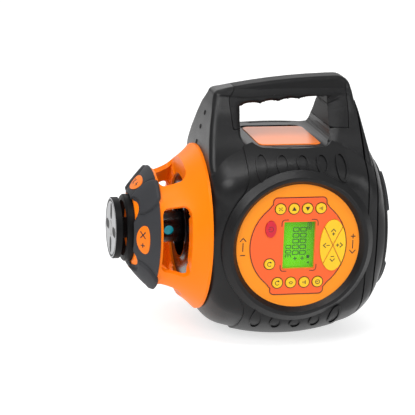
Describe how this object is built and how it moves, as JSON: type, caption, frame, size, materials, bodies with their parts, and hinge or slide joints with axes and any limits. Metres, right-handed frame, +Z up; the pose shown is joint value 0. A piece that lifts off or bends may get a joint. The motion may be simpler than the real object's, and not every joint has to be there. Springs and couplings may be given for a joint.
{
  "type": "rotary laser level",
  "caption": "Rotary laser level lying on its belly: barrel housing with carry handle, round keypad panel with display, and a guarded spinning head on a self-levelling gimbal.",
  "frame": {"origin": "mouth of the tripod thread in the belly, on the surface that the level lies on", "axes": "+Z up, +X along the laser axis from the spinning head to the base, the panel faces -Y"},
  "size_m": [0.2471, 0.1591, 0.2405],
  "materials": {
    "housing_black": "moulded, fine grain",
    "grip_black": "soft-touch moulding",
    "guard_orange": "moulded orange, satin",
    "bumper_rubber": "matt rubber",
    "overlay_red": "printed film",
    "key_yellow": "domed film keys",
    "key_orange": "domed film key",
    "key_red": "domed film key",
    "window_glass": "clear window",
    "display_green": "lit display",
    "board_green": "board",
    "rotor_black": "black moulding",
    "face_grey": "satin grey",
    "lens_dark": "dark window",
    "aperture_blue": "coated window",
    "prism_glass": "polished glass",
    "thread_brass": "turned",
    "screw_steel": "zinc plated",
    "cast_alloy": "die cast"
  },
  "bodies": {
    "housing": {"main_housing": "housing_black", "front_cover": "housing_black", "rear_cover": "housing_black", "handle_grip": "grip_black", "top_plate": "guard_orange", "lantern_guard": "guard_orange", "head_bumper": "bumper_rubber", "axis_badges": "guard_orange", "guard_collar": "housing_black", "turret_base": "housing_black", "panel_plate": "guard_orange", "keypad_overlay": "overlay_red", "lcd_window": "window_glass", "lcd_module": "display_green", "main_board": "board_green", "base_plate": "housing_black", "base_feet": "bumper_rubber", "tripod_insert": "thread_brass", "side_tripod_insert": "thread_brass", "side_feet": "bumper_rubber", "housing_screws": "screw_steel", "chassis_frame": "cast_alloy", "pitch_drive": "cast_alloy"},
    "gimbal": {"gimbal_ring": "cast_alloy", "gimbal_pins": "screw_steel", "yaw_drive": "cast_alloy"},
    "laser_unit": {"laser_barrel": "cast_alloy", "diode_module": "thread_brass", "rotor_bearings": "screw_steel", "drive_motor": "screw_steel", "drive_belt": "bumper_rubber"},
    "rotor": {"rotor_drum": "rotor_black", "rotor_head": "rotor_black", "cap_face": "face_grey", "cap_lens": "lens_dark", "aperture_window": "aperture_blue", "pentaprism": "prism_glass", "rotor_pulley": "rotor_black"},
    "motor_pulley": {"motor_pulley": "rotor_black"},
    "pitch_plunger": {"pitch_plunger": "thread_brass"},
    "yaw_plunger": {"yaw_plunger": "thread_brass"},
    "battery_unit": {"battery_cover": "housing_black", "battery_tray": "rotor_black", "battery_cells": "cast_alloy"},
    "battery_screw": {"battery_screw": "screw_steel"},
    "key_top_1": {"key_top_1": "key_yellow"},
    "key_top_2": {"key_top_2": "key_yellow"},
    "key_top_3": {"key_top_3": "key_yellow"},
    "key_top_4": {"key_top_4": "key_yellow"},
    "key_bottom_1": {"key_bottom_1": "key_yellow"},
    "key_bottom_2": {"key_bottom_2": "key_yellow"},
    "key_bottom_3": {"key_bottom_3": "key_yellow"},
    "key_bottom_4": {"key_bottom_4": "key_yellow"},
    "key_side": {"key_side": "key_orange"},
    "key_power": {"key_power": "key_red"},
    "key_pad_right": {"key_pad_right": "key_yellow"},
    "key_pad_up": {"key_pad_up": "key_yellow"},
    "key_pad_left": {"key_pad_left": "key_yellow"},
    "key_pad_down": {"key_pad_down": "key_yellow"}
  },
  "joints": [
    {"name": "pitch", "type": "hinge", "parent": "housing", "child": "gimbal", "pos_m": [-0.052, 0, 0.096], "axis": [0, 1, 0], "range_deg": [-5, 5]},
    {"name": "yaw", "type": "hinge", "parent": "gimbal", "child": "laser_unit", "pos_m": [-0.052, 0, 0.096], "axis": [0, 0, 1], "range_deg": [-5, 5]},
    {"name": "head_spin", "type": "hinge", "parent": "laser_unit", "child": "rotor", "pos_m": [-0.1, 0, 0.096], "axis": [1, 0, 0], "continuous": true},
    {"name": "motor_spin", "type": "hinge", "parent": "laser_unit", "child": "motor_pulley", "pos_m": [-0.083, 0, 0.123], "axis": [1, 0, 0], "continuous": true},
    {"name": "pitch_push", "type": "slide", "parent": "housing", "child": "pitch_plunger", "axis": [1, 0, 0], "range_m": [-0.00315, 0.00315]},
    {"name": "yaw_push", "type": "slide", "parent": "gimbal", "child": "yaw_plunger", "axis": [1, 0, 0], "range_m": [-0.00202, 0.00202]},
    {"name": "battery_draw", "type": "slide", "parent": "housing", "child": "battery_unit", "axis": [0, 1, 0], "range_m": [0, 0.07]},
    {"name": "battery_lock", "type": "hinge", "parent": "battery_unit", "child": "battery_screw", "pos_m": [-0.021, 0.0776, 0.096], "axis": [0, 1, 0], "continuous": true},
    {"name": "key_top_1_press", "type": "slide", "parent": "housing", "child": "key_top_1", "axis": [0, 1, 0], "range_m": [0, 0.0008], "stiffness_N_per_m": 2000},
    {"name": "key_top_2_press", "type": "slide", "parent": "housing", "child": "key_top_2", "axis": [0, 1, 0], "range_m": [0, 0.0008], "stiffness_N_per_m": 2000},
    {"name": "key_top_3_press", "type": "slide", "parent": "housing", "child": "key_top_3", "axis": [0, 1, 0], "range_m": [0, 0.0008], "stiffness_N_per_m": 2000},
    {"name": "key_top_4_press", "type": "slide", "parent": "housing", "child": "key_top_4", "axis": [0, 1, 0], "range_m": [0, 0.0008], "stiffness_N_per_m": 2000},
    {"name": "key_bottom_1_press", "type": "slide", "parent": "housing", "child": "key_bottom_1", "axis": [0, 1, 0], "range_m": [0, 0.0008], "stiffness_N_per_m": 2000},
    {"name": "key_bottom_2_press", "type": "slide", "parent": "housing", "child": "key_bottom_2", "axis": [0, 1, 0], "range_m": [0, 0.0008], "stiffness_N_per_m": 2000},
    {"name": "key_bottom_3_press", "type": "slide", "parent": "housing", "child": "key_bottom_3", "axis": [0, 1, 0], "range_m": [0, 0.0008], "stiffness_N_per_m": 2000},
    {"name": "key_bottom_4_press", "type": "slide", "parent": "housing", "child": "key_bottom_4", "axis": [0, 1, 0], "range_m": [0, 0.0008], "stiffness_N_per_m": 2000},
    {"name": "key_side_press", "type": "slide", "parent": "housing", "child": "key_side", "axis": [0, 1, 0], "range_m": [0, 0.0008], "stiffness_N_per_m": 2000},
    {"name": "key_power_press", "type": "slide", "parent": "housing", "child": "key_power", "axis": [0, 1, 0], "range_m": [0, 0.0008], "stiffness_N_per_m": 2000},
    {"name": "key_pad_right_press", "type": "slide", "parent": "housing", "child": "key_pad_right", "axis": [0, 1, 0], "range_m": [0, 0.0008], "stiffness_N_per_m": 2000},
    {"name": "key_pad_up_press", "type": "slide", "parent": "housing", "child": "key_pad_up", "axis": [0, 1, 0], "range_m": [0, 0.0008], "stiffness_N_per_m": 2000},
    {"name": "key_pad_left_press", "type": "slide", "parent": "housing", "child": "key_pad_left", "axis": [0, 1, 0], "range_m": [0, 0.0008], "stiffness_N_per_m": 2000},
    {"name": "key_pad_down_press", "type": "slide", "parent": "housing", "child": "key_pad_down", "axis": [0, 1, 0], "range_m": [0, 0.0008], "stiffness_N_per_m": 2000}
  ],
  "couplings": [
    {"joint": "motor_spin", "follows": "head_spin", "ratio": 3.2},
    {"joint": "pitch_push", "follows": "pitch", "m_per_rad": -0.036},
    {"joint": "yaw_push", "follows": "yaw", "m_per_rad": 0.023}
  ]
}
